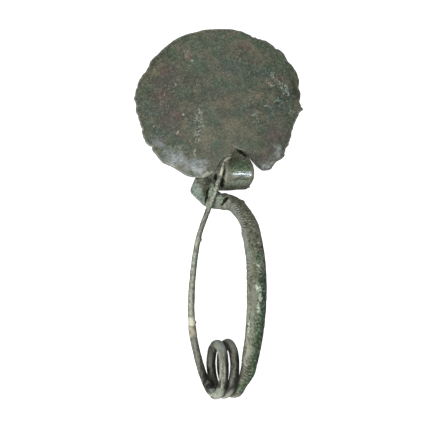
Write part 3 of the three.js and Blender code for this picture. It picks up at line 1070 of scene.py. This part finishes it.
class Coat(Sheet):
    """A material's sheet, with what every patina here needs: noises, and a colour to lay tones over."""

    def __init__(self, material, seed, mottle, grain, speck=None):
        """Each noise is a size in millimetres, a detail and a roughness."""
        material.use_nodes = True
        tree = material.node_tree
        tree.nodes.clear()
        super().__init__(tree)
        self.place = self.node("ShaderNodeTexCoord", output="Object")
        self.seeded = self.vector("ADD", first=self.place, second=(seed * MM, 0.0, seed * MM))
        self.mottle = self.sized_noise(self.seeded, *mottle)
        self.grain = self.sized_noise(self.seeded, *grain)
        self.uneven, self.gritty = self.mottle - 0.5, self.grain - 0.5
        if speck:
            self.speck = self.sized_noise(self.place, *speck)
            self.fine = self.grain * 0.55 + self.speck * 0.45
        self.colour = None

    def sized_noise(self, place, size, detail, roughness):
        return self.noise(place, size * MM, detail, roughness)

    def facing(self):
        """Which way the surface faces, as x, y and z."""
        return self.axes(self.node("ShaderNodeTexCoord", output="Normal"))

    def blend(self, factor, under, over):
        """One colour over another, where factor is 1."""
        return self.node("ShaderNodeMix", {"data_type": "RGBA"}, {0: factor, 6: under, 7: over}, 2)

    def start(self, clouds, dark, light):
        """The ground: clouds of a dark and a light tone."""
        self.colour = self.blend(self.smooth(clouds, 0.36, 0.64), tone(*dark), tone(*light))

    def lay(self, factor, red, green, blue):
        """Lays a tone over the colour so far, where factor is 1."""
        self.colour = self.blend(factor, self.colour, tone(red, green, blue))

    def value(self, name):
        """A value that the piece's own points carry."""
        return self.node("ShaderNodeAttribute", {"attribute_name": name}, {}, "Fac")

    def shader(self, roughness, metallic, height, bump_distance, painted_shade_and_cuts=None):
        """The finished skin. Where the last mask is 1, it is black and quite dull: painted shade in the
        hollows, and the dark of the cuts.
        """
        bump = {"Height": height, "Distance": bump_distance, "Strength": 1.0}
        sockets = {"Base Color": self.colour, "Roughness": roughness, "Metallic": metallic}
        sockets["Normal"] = self.node("ShaderNodeBump", {}, bump)
        sockets["Specular IOR Level"] = SHINE
        skin = self.node("ShaderNodeBsdfPrincipled", {}, sockets)
        if painted_shade_and_cuts:
            black = self.node("ShaderNodeBsdfDiffuse", {}, {"Color": tone(*PAINTED_SHADE_BLACK)})
            skin = self.node("ShaderNodeMixShader", {}, {0: painted_shade_and_cuts, 1: skin, 2: black})
        self.node("ShaderNodeOutputMaterial", {}, {"Surface": skin})


# %% Where the disc is stained, and where sheen and shade are painted on it
# Ovals in plan: x, y, half width, half height and, where it is turned, the turn in degrees.
DISC_CLOUDS = {
    # The olive ovals darken the left third: a browner patina there, and painted shade that tones down the
    # side lit by the lamp at the lower left.
    "olive": [(-21, 49, 10, 17), (-9, 50, 8, 12), (-19, 34, 8, 7), (3, 44, 6, 9)],
    "warm_grey": [
        (2.4, 44.4, 5, 3.6), (6.4, 34.6, 8.5, 6.5), (-4.4, 31, 5, 7), (13, 66, 6, 3.4, -20),
        (-25, 57, 3, 4, 20), (15, 47, 4, 3),
    ],
    "purple_brown": [
        (-23.6, 46.6, 7.5, 10), (-18.6, 55.4, 5.5, 5.5), (-20, 38, 9, 5), (-2.4, 48.6, 2.4, 3),
        (11, 66.2, 4, 2.4, -25), (15, 61, 3.4, 2.6), (23.4, 31, 6.5, 6.5), (20.6, 25, 5, 4),
        (24.2, 54.6, 2, 2), (-14, 30.6, 3, 3),
    ],
    "green": [
        (-4.8, 67, 9.5, 4), (7, 70.6, 6.5, 2.2), (-8.6, 58.4, 6, 5.4), (3.6, 51.8, 6.4, 4, -8),
        (24, 61.8, 6.5, 3, -45), (18, 67, 5, 2, -30), (28.4, 55, 2.2, 4.4), (-28.4, 45, 2.4, 4),
        (-15.4, 28.6, 4, 3), (-1.2, 27.6, 3.4, 2), (-13.4, 48.6, 4.6, 4), (-3.6, 40, 2.6, 4),
    ],
    "blue_green": [
        (6.4, 58.8, 6.4, 4.6), (7.4, 50, 3, 2.4), (28, 45.4, 4, 6.4), (11.4, 41, 5, 2.6),
        (21, 41, 5, 4), (-26.8, 40.2, 3, 4), (-22, 32, 7, 3.4), (18, 55.6, 5, 3.6),
    ],
    "rust": [
        (-22, 57.6, 2.6, 3, 20), (-22.4, 47, 3, 2.4), (-17, 39.6, 2.4, 3), (11.6, 65.2, 2.6, 1.6, -20),
        (26, 55.2, 1.4, 1.8), (-14.6, 33, 1.8, 1.6), (3, 45.6, 2, 1.4),
    ],
    "dark": [
        (23.4, 50.4, 2.4, 1.8), (31, 49.4, 1.8, 5.2), (27, 47, 4.4, 6), (-10.4, 46.6, 0.8, 2.2),
        (-10.4, 40.6, 0.8, 3.2), (8.6, 62.8, 3, 1.2), (20.4, 48.6, 2, 1.2), (-11.4, 38.2, 1.5, 1.2),
        # The last dark oval is painted shadow: the shadow that the catch's roll casts on the disc along
        # its right edge.
        (14.2, 41.8, 1.7, 1), (24, 42, 1.6, 2.4), (9.8, 24.4, 3.4, 1, -38),
    ],
    # Greyer bare metal on the low-left rim and the lobe, with a painted sheen laid over it.
    "grey_metal_and_painted_sheen": [
        (-9, 18.2, 7.4, 5.2, -20), (-7.6, 17.4, 3.6, 3, -20), (-16.6, 21.8, 8.4, 5, -32),
        (20, 19, 6, 4.8, 10), (24.6, 24.4, 3.2, 4.6, -10), (-23.6, 27.6, 4, 3.4, -50),
    ],
}
DISC_SPOTS = {
    "pink": [
        (-11.7, 63.2, 1.7, 3.4, 15), (10.8, 44.9, 1.7, 1.1, -15), (-11, 28.5, 1.2, 1.6),
        (-12.4, 34.6, 1.6, 0.8), (17, 47.4, 2.6, 0.6, 15), (16.4, 40.8, 3, 0.6, -8),
        (-16, 32, 2, 0.8, -20), (21, 52.2, 1.6, 0.7, -15),
    ],
    "turquoise": [(27, 49.4, 2, 3), (24, 45.6, 2.2, 0.8, 30)],
    "pale": [
        (-10.2, 61, 0.9, 0.9), (20.2, 54, 0.9, 1.8, -20), (15.2, 39.6, 2.6, 1), (-7.6, 40.2, 2.4, 2.6),
        (-7.4, 36, 2.8, 3.8), (-7.6, 31.6, 2.2, 4.4), (-13, 64.6, 1.4, 0.6, 30), (26.6, 50.6, 1.8, 1.6),
        (27.6, 47.8, 1.8, 1.4), (25.4, 43.4, 2.4, 0.7, 45), (29.6, 40.4, 1.8, 1.2, 30),
        # The two turned ovals at x 20 to 22, y 18 to 20 are painted glints on the lobe.
        (22, 51.6, 2, 0.7, -15), (21.9, 19.9, 0.8, 2.4, -40), (20, 18.4, 0.7, 2, -40),
        (22.4, 55, 1.6, 2.6, 35), (24.6, 52.6, 2.6, 0.8, -30), (20, 43, 2, 1.6), (15.6, 36.6, 2.4, 0.8),
    ],
    "cream": [
        (-9, 24.6, 0.5, 2.4, -10), (-4.6, 15.3, 4, 1.1, 28), (-25.2, 35, 0.5, 0.4),
        (-16, 32.7, 0.4, 0.4), (-13.6, 39.4, 0.5, 0.4), (-16.7, 51.5, 0.4, 0.4), (-6.4, 54.2, 0.4, 0.4),
        (-20.2, 19.9, 1, 0.4, -30), (-18.1, 18.3, 0.8, 0.35, -20), (6.3, 24.6, 0.45, 2.2, -8),
        # These last two cream ovals are painted glints on the lobe.
        (21.7, 20.2, 0.5, 1.7, -40), (20.4, 18.8, 0.4, 1.3, -40),
    ],
}
stained(brooch, DISC_CLOUDS, 4.0, 2.6)
stained(brooch, DISC_SPOTS, 1.6, 0.7)

# %% The disc's patina
# Red, green, blue and how strongly the stain is laid.
DISC_TONES = {
    "olive": (58, 58, 40, 0.7),
    "warm_grey": (108, 102, 80, 0.75),
    "purple_brown": (78, 68, 62, 0.7),
    "green": (54, 82, 58, 0.65),
    "blue_green": (52, 74, 64, 0.7),
    "rust": (92, 62, 48, 0.55),
    "dark": (32, 40, 36, 0.8),
}


def disc_patina(material):
    coat = Coat(material, 3.0, (2.2, 4.0, 0.62), (0.95, 3.0, 0.7), (0.55, 2.0, 0.6))
    coat.start(coat.sized_noise(coat.seeded, 6.5, 5.0, 0.62), (58, 76, 54), (88, 86, 66))
    for name, (*steps, strength) in DISC_TONES.items():
        mask = coat.value(name) * 1.3 + coat.uneven * 1.5 + coat.gritty * 0.6
        coat.lay(coat.smooth(mask, 0.0, 1.0) * strength, *steps)
    blotch = coat.sized_noise(coat.place, 3.4, 5.0, 0.66)
    coat.lay(coat.smooth(blotch, 0.5, 0.36) * 0.45, 44, 50, 40)
    coat.lay(coat.smooth(blotch, 0.52, 0.68) * 0.4, 106, 104, 86)
    coat.lay(coat.smooth(coat.fine, 0.51, 0.37) * 0.8, 32, 38, 32)
    coat.lay(coat.smooth(coat.fine, 0.51, 0.66) * 0.55, 132, 136, 116)
    specks = coat.smooth(coat.fine, 0.49, 0.56)
    broken = {
        "pink": (146, 116, 108, specks * 0.55 + 0.15),
        "turquoise": (116, 148, 136, specks * 0.8),
        "pale": (158, 160, 148, specks * 0.7),
        "cream": (190, 188, 168, specks * 0.4 + 0.5),
    }
    for name, (*steps, strength) in broken.items():
        coat.lay(coat.smooth(coat.value(name), 0.05, 0.5) * strength, *steps)
    # Painted sheen: a bluish grey over the greyer, glossier bare metal of the low-left rim and the lobe.
    sheen = coat.value("grey_metal_and_painted_sheen") * 1.3 + coat.uneven * 0.25 + (coat.fine - 0.5) * 1.5
    sheen = coat.smooth(sheen, 0.0, 1.2)
    coat.lay(sheen * 0.6, 144, 149, 152)
    # The worn rim: lighter within a millimetre of the edge, with a painted highlight along its bevel.
    worn_rim_and_painted_highlight = coat.smooth(coat.value("from_rim"), 1.0 * MM, 0.3 * MM)
    coat.lay(worn_rim_and_painted_highlight * (specks * 0.5 + 0.35), 142, 146, 136)
    height = coat.mottle * 0.4 + coat.grain * 0.4 + coat.speck * 0.2
    roughness = 0.5 - sheen * 0.14 + coat.gritty * 0.4
    coat.shader(roughness, sheen * 0.35 + 0.08, height, 0.22 * MM)
    print(material.name, len(coat.tree.nodes), "nodes")


disc_patina(disc_metal)

# %% Where the bow, the spring and the catch are stained, and where light and shade are painted on them
ROD_CLOUDS = {
    # Beige patina, with a painted highlight strip down the left of the bow; the last oval is the lighter
    # ridge of the collar.
    "bow_beige_and_painted_highlight": [
        (12.2, -27, 1, 8), (12.3, -38, 1.1, 7, -2), (11.7, -49, 1.1, 6, -4), (10.8, -57, 1.1, 5, -10),
        (4.9, 5, 0.8, 2, -35),
    ],
    "bow_green": [
        (16.2, -17, 2.2, 3.4), (16.8, -27, 2, 6), (16.4, -44, 3, 10, -6), (14.4, -58.6, 2.8, 7, -14),
        (9.4, 18.8, 5.6, 2.8), (10.4, -66, 2, 2.4), (8.6, -68.4, 2.6, 2), (14.5, -39.6, 1.4, 5),
    ],
    "bow_teal": [
        (12.6, -14, 1.1, 4.6, 4), (16, -37, 1.2, 4), (1.6, 5.4, 2, 2.6), (8.4, 11.6, 4.6, 2),
        (1.4, 10.4, 2, 0.7),
    ],
    "bow_brown": [(6, 23, 4, 3, 40), (14.4, -21.6, 1.8, 3.6), (14.4, -11, 2.4, 5), (13.6, -36, 1.3, 4)],
    # Painted fill light: a lighter tone on the top of the bow by the collar, where the lamps leave it
    # dark.
    "bow_painted_fill_light": [(6.2, 6.4, 3.4, 1.6, -15), (12, -1, 3, 5, 35), (14.6, -5, 2, 4, 20)],
    "bow_olive": [
        (13, -57.6, 1.7, 5, -12), (14.8, -41, 1.6, 8), (14, -49.6, 1.4, 5, -4), (14.6, -23, 1.4, 4),
        (9.9, -67.4, 1.4, 2.6, -20), (7.8, -70, 2.4, 1.8),
    ],
    # Pale patina on the hump, with painted light on its left; the shade ovals below paint its shaded upper
    # right, its crease and the shade under the roll.
    "hump_pale_and_painted_light": [(-8.8, 8.8, 3.4, 5), (-6.6, 5.6, 3.2, 2.8)],
    "shade": [
        (-4.2, 12.8, 3.6, 2.4, 20), (-3.7, 8.6, 1.1, 5, -20), (9, 13.7, 5.4, 1.2),
        (6.6, 20.6, 3.4, 2.2, 30), (1, 19.2, 1.4, 5, -30),
    ],
    "pitted": [
        (12.3, -7.2, 0.7, 1), (15.6, -9.2, 0.7, 0.9), (13, -10.7, 0.6, 0.8), (14.2, -12.3, 0.7, 0.9),
        (15.9, -12.1, 0.7, 0.7), (16.5, -14.6, 0.7, 0.7), (17.5, -13.4, 0.6, 0.7),
        (15.1, -23.3, 0.7, 0.8), (16.7, -23.1, 0.7, 0.7), (18, -23.7, 0.7, 0.8), (15.1, -25.2, 0.6, 1),
        (17.3, -25.1, 0.8, 0.7), (14.5, -26.7, 0.6, 0.9), (17.9, -28.6, 0.6, 1.4),
    ],
    "crusty": [
        (-2.2, 9.4, 1.6, 3.6, -20), (-3.2, 3.8, 2.2, 2.6), (0.3, 12.2, 1.1, 2.4), (0.6, 6, 2, 2.6),
    ],
    # Painted shade where the strands of the spring touch and lie under each other.
    "coil_dark": [
        (5, -68.8, 2.4, 3.4), (-4.7, -64.6, 1.8, 5.4, -18), (-3, -68, 1.8, 2.4, -40),
        (1, -66.6, 1.2, 3),
    ],
}
ROD_SPOTS = {
    "bow_pale": [
        (16, -29.2, 1.2, 1.8), (16.5, -32.4, 1, 2.2), (15.2, -28.4, 0.7, 1.8), (15.8, -36.4, 0.8, 2.6),
        (12, -44, 0.8, 4, -5), (15.9, -11.2, 0.7, 0.6), (15.7, -20, 0.9, 0.6, -40),
        # The last pale oval is painted light on the end of the spring.
        (-1.9, -71.2, 2.8, 1.2),
    ],
    # A glossier line along the crest of the catch's roll, its highlight painted a bluish grey.
    "roll_gloss_and_painted_highlight": [(10.4, 15.7, 6.2, 1.5)],
    # Painted shadows: beside and under the pin in the catch, in the crease by the hump, and where the roll
    # meets the disc.
    "catch_painted_shadows": [
        (-0.8, 14.6, 1.1, 2.6), (1.8, 12.9, 1.4, 4), (2.3, 16.6, 0.9, 2.4, -15),
        (-4.6, 5.6, 0.8, 3.4, -20), (-3.8, 9, 0.6, 2.6, -20), (0.3, 20.2, 0.9, 3.8, -36),
        (9.4, 24.6, 4, 1, -38),
    ],
}
stained(brooch, ROD_CLOUDS, 4.0, 1.2)
stained(brooch, ROD_SPOTS, 1.4, 0.4)

# %% The patina of the bow and the catch
# Red, green, blue and how strongly the stain is laid.
BOW_TONES = {
    "bow_beige_and_painted_highlight": (166, 166, 150, 0.75),
    "bow_green": (66, 98, 66, 0.75),
    "bow_teal": (124, 140, 124, 0.7),
    "bow_brown": (106, 106, 82, 0.75),
    "bow_painted_fill_light": (146, 146, 128, 0.6),
    "bow_olive": (78, 84, 58, 0.85),
    "hump_pale_and_painted_light": (162, 178, 166, 0.9),
    "shade": (62, 66, 52, 0.8),
    "pitted": (44, 48, 34, 0.85),
    "crusty": (150, 164, 142, 0.85),
}


def coat_bow(coat, y, side, bare):
    """Painted light on the left, green that ends in crackle on the right, painted fill light on top by the
    collar, and the stains of both.
    """
    coat.start(coat.sized_noise(coat.seeded, 6, 4.0, 0.6), (98, 102, 82), (124, 126, 108))
    # Painted light and reflection: the left side of the lower bow lit pale grey.
    left = coat.smooth(side + coat.uneven * 0.4, -0.35, -0.75) * coat.smooth(y, -26 * MM, -16 * MM) * bare
    coat.lay(left * 0.8, 150, 154, 148)
    right = coat.smooth(side + coat.uneven * 0.8, 0.0, 0.6) * coat.smooth(y, -8 * MM, -20 * MM) * bare
    coat.lay(right * 0.65, 88, 104, 80)
    # Painted fill light: a pale tone on the top and right of the bow near the collar.
    above = coat.smooth(side + coat.uneven * 0.4, -0.1, 0.5) * coat.smooth(y, -26 * MM, -20 * MM)
    above = above * coat.smooth(y, 6 * MM, 3 * MM) * bare
    coat.lay(above * 0.65, 162, 164, 144)
    for name, (*steps, strength) in BOW_TONES.items():
        mask = coat.value(name) * 1.5 + coat.uneven * 0.9 + coat.gritty * 0.9
        coat.lay(coat.smooth(mask, 0.1, 0.9) * strength, *steps)
    crystals = coat.value("crusty")
    coat.lay(crystals * coat.smooth(coat.fine, 0.52, 0.6) * 0.7, 200, 216, 190)
    coat.lay(crystals * coat.smooth(coat.fine, 0.48, 0.4) * 0.8, 48, 58, 42)
    cells = coat.cells(coat.place, BUBBLE_SIZE)
    crackled = coat.smooth(side + coat.uneven * 0.8, -0.25, 0.3) * coat.smooth(y, -4 * MM, -20 * MM) * bare
    coat.lay(crackled * coat.smooth(cells, 0.44, 0.2) * 0.65, 140, 174, 146)
    coat.lay(crackled * coat.smooth(cells, 0.48, 0.7) * 0.75, 42, 64, 42)
    coat.lay(coat.smooth(coat.fine, 0.5, 0.36) * 0.85, 40, 46, 34)
    coat.lay(coat.smooth(coat.fine, 0.51, 0.66) * 0.55, 176, 180, 160)


# %% The patina of the spring
def coat_spring(coat, y, z, side, front, along, coil):
    """Streaks along the wire, painted shade low down, behind and on the right of each strand, and painted
    light on its back, its left side and its ends.
    """
    stretched = coat.vector("MULTIPLY", first=coat.place, second=(1.0, 0.12, 0.5))
    streak = coat.sized_noise(stretched, 0.9, 3.0, 0.6)
    second = coat.smooth(along, 84 * MM, 92 * MM)
    coil_dark = coat.blend(second, tone(76, 80, 66), tone(42, 41, 36))
    coil_light = coat.blend(second, tone(160, 164, 148), tone(112, 110, 100))
    streaks = coat.smooth(streak * 0.6 + coat.grain * 0.4, 0.4, 0.58)
    coat.colour = coat.blend(coil * 0.8, coat.colour, coat.blend(streaks, coil_dark, coil_light))
    stump = coat.smooth(along, 25 * MM, 16 * MM)
    coat.lay(coil * stump * 0.35, 76, 77, 70)
    # Painted shade on the low strands, under the near ones.
    low = coil * coat.smooth(z + coat.uneven * 6 * MM, 18 * MM, 10 * MM) * (1 - stump)
    coat.lay(low * 0.7, 48, 47, 42)
    # Painted light on the backs of the strands.
    painted_light_backs = coil * coat.smooth(front + coat.uneven * 0.3, 0.4, 0.8) * coat.smooth(z, 8 * MM, 12 * MM)
    painted_light_tone = coat.blend(second, tone(190, 206, 198), tone(180, 180, 170))
    coat.colour = coat.blend(painted_light_backs * 0.75, coat.colour, painted_light_tone)
    lit = coil * coat.smooth(side, -0.4, -0.8) * coat.smooth(along, 28 * MM, 32 * MM)
    lit = lit * coat.smooth(along, 66 * MM, 60 * MM) * coat.smooth(z, 12 * MM, 18 * MM)
    coat.lay(lit * 0.6, 176, 178, 162)
    reach = coat.smooth(along, 24 * MM, 30 * MM) * 0.35
    shaded = coat.smooth(side + coat.uneven * 0.3 - reach, -0.3, 0.1)
    shaded = coil * (shaded * coat.smooth(along, 8 * MM, 14 * MM)) * coat.smooth(front, 0.7, 0.3)
    coat.lay(shaded * 0.8, 20, 20, 17)
    # Painted shade between and under the strands of the spring.
    stain = coat.smooth(coat.value("coil_dark") * 1.5 + coat.gritty, 0.1, 0.9) * coil
    coat.lay(stain * 0.9, 30, 30, 26)
    # Painted light on the ends of the turns that face the lower edge.
    painted_light_ends = coil * coat.smooth(y, -66 * MM, -70 * MM) * coat.smooth(front, -0.5, -0.85)
    coat.lay(painted_light_ends * 0.7, 200, 204, 192)


# %% Crust, dirt in the grooves, painted shade in the hollows, and the whole patina of the rod
def rod_patina(material):
    coat = Coat(material, 11.0, (1.9, 4.0, 0.65), (0.8, 3.0, 0.7), (0.5, 2.0, 0.6))
    y, z = coat.axes(coat.place)[1:]
    side, front = coat.facing()[:2]
    along, groove, cut, lumps = (coat.value(name) for name in ("along", "groove", "cut", "lumps"))
    coil = coat.smooth(along, 0.5 * MM, 1.5 * MM)
    coil = coil * coat.smooth(along, coil_length * MM, (coil_length - 8) * MM)
    coat_bow(coat, y, side, 1 - coil)
    coat_spring(coat, y, z, side, front, along, coil)
    # Pale crust, and on the end of the spring painted light.
    crust = coat.smooth(coat.fine, 0.45, 0.56) * 0.75 + 0.15
    coat.lay(coat.smooth(coat.value("bow_pale"), 0.0, 0.6) * crust, 206, 220, 200)
    coat.lay(coat.smooth(lumps * (0.6 + coat.grain * 0.8), 0.05, 0.5) * 0.6, 172, 188, 164)
    coat.lay(coat.smooth(groove * (0.5 + coat.grain), 0.35, 0.9) * 0.75, 40, 42, 28)
    # Glossier metal on the roll's crest, with a bluish grey painted under its highlight.
    gloss = coat.smooth(coat.value("roll_gloss_and_painted_highlight"), 0.0, 0.4)
    coat.lay(gloss * 0.55, 112, 124, 132)
    # Painted shade, black and dull, in the hollows of the catch, together with the dark of the cuts.
    painted_hollow_shade = coat.value("catch_painted_shadows") * 1.5 + coat.uneven * 0.9 + coat.gritty * 0.9
    painted_hollow_shade = coat.smooth(painted_hollow_shade, 0.1, 0.8)
    painted_shade_and_cuts = 1 - (1 - painted_hollow_shade * 0.95) * (1 - coat.smooth(cut, 0.1, 0.35) * 0.95)
    height = coat.mottle * 0.4 + coat.grain * 0.4 + coat.speck * 0.2
    roughness = 0.5 + coat.gritty * 0.3 * (1 - gloss) - gloss * 0.26
    coat.shader(roughness, 0.1 + gloss * 0.3, height * (1 - gloss * 0.7), 0.24 * MM, painted_shade_and_cuts)
    print(material.name, len(coat.tree.nodes), "nodes")


rod_patina(bronze)

# %% The pin's patina and the fill
PIN_SPOTS = {
    # A pale crust by the fill, and near the point a highlight painted down the pin's upper end.
    "pin_pale_and_painted_highlight": [(-10.2, -43, 2.2, 2.6, 20), (3.4, 21.6, 2.4, 1.4), (1.4, 17, 1.2, 3.6)],
    "pin_dark": [(-4.8, -2.6, 2, 9, -20), (-8.6, -43.4, 0.9, 1.2)],
}
stained(pin, PIN_SPOTS, 1.6, 0.8)


def pin_patina(material):
    coat = Coat(material, 17.0, (1.8, 4.0, 0.62), (0.8, 3.0, 0.7))
    cloud = coat.sized_noise(coat.seeded, 6, 3.0, 0.6)
    coat.start(coat.mottle, (116, 120, 106), (170, 176, 162))
    coat.lay(coat.smooth(cloud, 0.48, 0.62) * 0.5, 168, 158, 132)
    coat.lay(coat.smooth(coat.grain, 0.5, 0.36) * 0.75, 66, 74, 60)
    right = coat.smooth(coat.facing()[0] + coat.uneven, 0.0, 0.6)
    towards_disc = coat.smooth(coat.axes(coat.place)[1], -34 * MM, -14 * MM)
    coat.lay((right * towards_disc * 0.75 + right * 0.25) * 0.65, 84, 92, 78)
    coat.lay(coat.smooth(coat.value("pin_dark") + coat.gritty, 0.0, 0.5) * 0.7, 84, 88, 80)
    # Pale crust, and a painted highlight near the point.
    coat.lay(coat.smooth(coat.value("pin_pale_and_painted_highlight") + coat.gritty * 1.4, 0.0, 0.5) * 0.8, 218, 216, 194)
    coat.lay(coat.smooth(coat.value("lumps"), 0.05, 0.5) * 0.6, 150, 170, 144)
    coat.shader(0.5 + coat.gritty * 0.3, 0.1, coat.mottle * 0.5 + coat.grain * 0.5, 0.2 * MM)
    print(material.name, len(coat.tree.nodes), "nodes")


def fill_coat(material):
    coat = Coat(material, 23.0, (1.8, 4.0, 0.62), (0.6, 3.0, 0.6))
    coat.start(coat.mottle, (138, 130, 110), (180, 176, 158))
    coat.shader(0.7 + coat.grain * 0.1, 0.0, coat.mottle * 0.5 + coat.grain * 0.5, 0.1 * MM)
    print(material.name, len(coat.tree.nodes), "nodes")


pin_patina(pin_metal)
fill_coat(fill_paste)

# %% Finish
SHARP_ANGLE = math.radians(50)
PIECES = {
    brooch: (("brooch",), "bronze_patina"),
    pin: (("pin_point_length",), "pin_patina"),
    fill: (("pin_fill",), "repair_fill"),
}
for piece, (nodes, slot) in PIECES.items():
    piece.data.shade_smooth()
    piece.data.set_sharp_from_angle(angle=SHARP_ANGLE)
    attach(piece, "root")
    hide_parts(*nodes)
